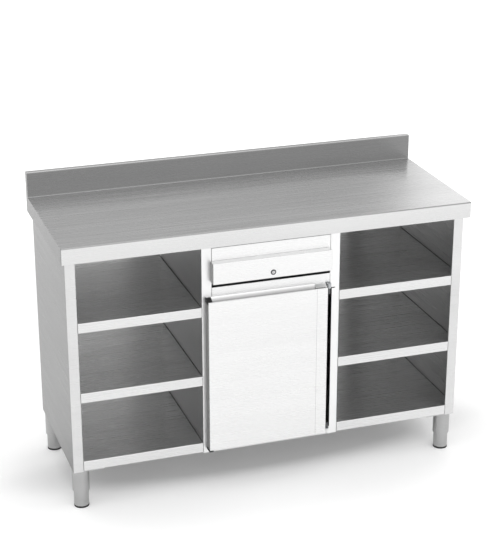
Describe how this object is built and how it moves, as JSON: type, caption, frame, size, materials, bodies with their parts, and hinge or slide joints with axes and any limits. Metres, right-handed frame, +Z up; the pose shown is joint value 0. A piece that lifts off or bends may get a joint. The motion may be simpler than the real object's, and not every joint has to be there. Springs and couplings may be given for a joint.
{
  "type": "coffee service counter",
  "caption": "Stainless steel back-bar service counter with open shelf bays, a lockable drawer, a swing door with a finger trough, a backsplash and adjustable legs.",
  "frame": {"origin": "on the floor under the middle of the overall box, drawer lock included", "axes": "+X to the right as the user faces the counter, +Y to its back, +Z up"},
  "size_m": [1.545, 0.6076, 1.132],
  "materials": {
    "worktop_steel": "satin brushed stainless steel, grain along the worktop",
    "front_steel": "fine satin stainless steel",
    "carcass_steel": "satin brushed stainless steel, grain upright",
    "hidden_steel": "plain mill finish stainless steel",
    "leg_steel": "satin stainless tube",
    "zinc_steel": "bright zinc plate",
    "chromed_lock": "bright nickel and chrome",
    "black_plastic": "matte black moulding",
    "foot_rubber": "matte black moulding",
    "core_board": "raw board"
  },
  "bodies": {
    "carcass": {"back_panel_centre": "carcass_steel", "back_panel_left": "carcass_steel", "back_panel_right": "carcass_steel", "catch_magnet": "black_plastic", "centre_floor": "carcass_steel", "drawer_housing": "hidden_steel", "drawer_rail": "carcass_steel", "fascia": "carcass_steel", "hinge_brackets": "carcass_steel", "hinge_pins": "zinc_steel", "left_floor": "carcass_steel", "left_shelf_lower": "carcass_steel", "left_shelf_upper": "carcass_steel", "leg_plates": "hidden_steel", "leg_tubes": "leg_steel", "partition_left": "carcass_steel", "partition_right": "carcass_steel", "right_floor": "carcass_steel", "right_shelf_lower": "carcass_steel", "right_shelf_upper": "carcass_steel", "runner_fixed_left": "zinc_steel", "runner_fixed_right": "zinc_steel", "side_panel_left": "carcass_steel", "side_panel_right": "carcass_steel", "worktop": "worktop_steel", "worktop_channels": "hidden_steel"},
    "drawer": {"drawer_box": "carcass_steel", "drawer_front": "front_steel", "drawer_front_brackets": "hidden_steel", "drawer_front_liner": "front_steel", "lock_barrel": "chromed_lock", "lock_nut": "chromed_lock", "runner_inner_left": "zinc_steel", "runner_inner_right": "zinc_steel"},
    "runner_middle": {"runner_middle_left": "zinc_steel", "runner_middle_right": "zinc_steel"},
    "lock": {"lock_plug": "chromed_lock", "lock_cam": "chromed_lock"},
    "door": {"catch_plate": "zinc_steel", "door_cap_left": "black_plastic", "door_cap_right": "front_steel", "door_core": "core_board", "door_hinge_leaves": "front_steel", "door_liner": "front_steel", "door_skin": "front_steel"},
    "foot_front_left": {"foot_sleeve_front_left": "leg_steel", "foot_base_front_left": "foot_rubber"},
    "foot_front_right": {"foot_sleeve_front_right": "leg_steel", "foot_base_front_right": "foot_rubber"},
    "foot_rear_left": {"foot_sleeve_rear_left": "leg_steel", "foot_base_rear_left": "foot_rubber"},
    "foot_rear_right": {"foot_sleeve_rear_right": "leg_steel", "foot_base_rear_right": "foot_rubber"}
  },
  "joints": [
    {"name": "door_swing", "type": "hinge", "parent": "carcass", "child": "door", "pos_m": [0.2195, -0.27625, 0.479], "axis": [0, 0, 1], "range_deg": [0, 105]},
    {"name": "drawer_slide", "type": "slide", "parent": "carcass", "child": "drawer", "axis": [0, -1, 0], "range_m": [0, 0.38]},
    {"name": "runner_middle_slide", "type": "slide", "parent": "carcass", "child": "runner_middle", "axis": [0, -1, 0], "range_m": [0, 0.19]},
    {"name": "lock_turn", "type": "hinge", "parent": "drawer", "child": "lock", "pos_m": [-0.00475, -0.26925, 0.857], "axis": [0, 1, 0], "range_deg": [0, 90]},
    {"name": "foot_front_left_height", "type": "slide", "parent": "carcass", "child": "foot_front_left", "axis": [0, 0, -1], "range_m": [-0.02, 0.03]},
    {"name": "foot_front_right_height", "type": "slide", "parent": "carcass", "child": "foot_front_right", "axis": [0, 0, -1], "range_m": [-0.02, 0.03]},
    {"name": "foot_rear_left_height", "type": "slide", "parent": "carcass", "child": "foot_rear_left", "axis": [0, 0, -1], "range_m": [-0.02, 0.03]},
    {"name": "foot_rear_right_height", "type": "slide", "parent": "carcass", "child": "foot_rear_right", "axis": [0, 0, -1], "range_m": [-0.02, 0.03]}
  ],
  "couplings": [
    {"joint": "runner_middle_slide", "follows": "drawer_slide", "ratio": 0.5}
  ]
}
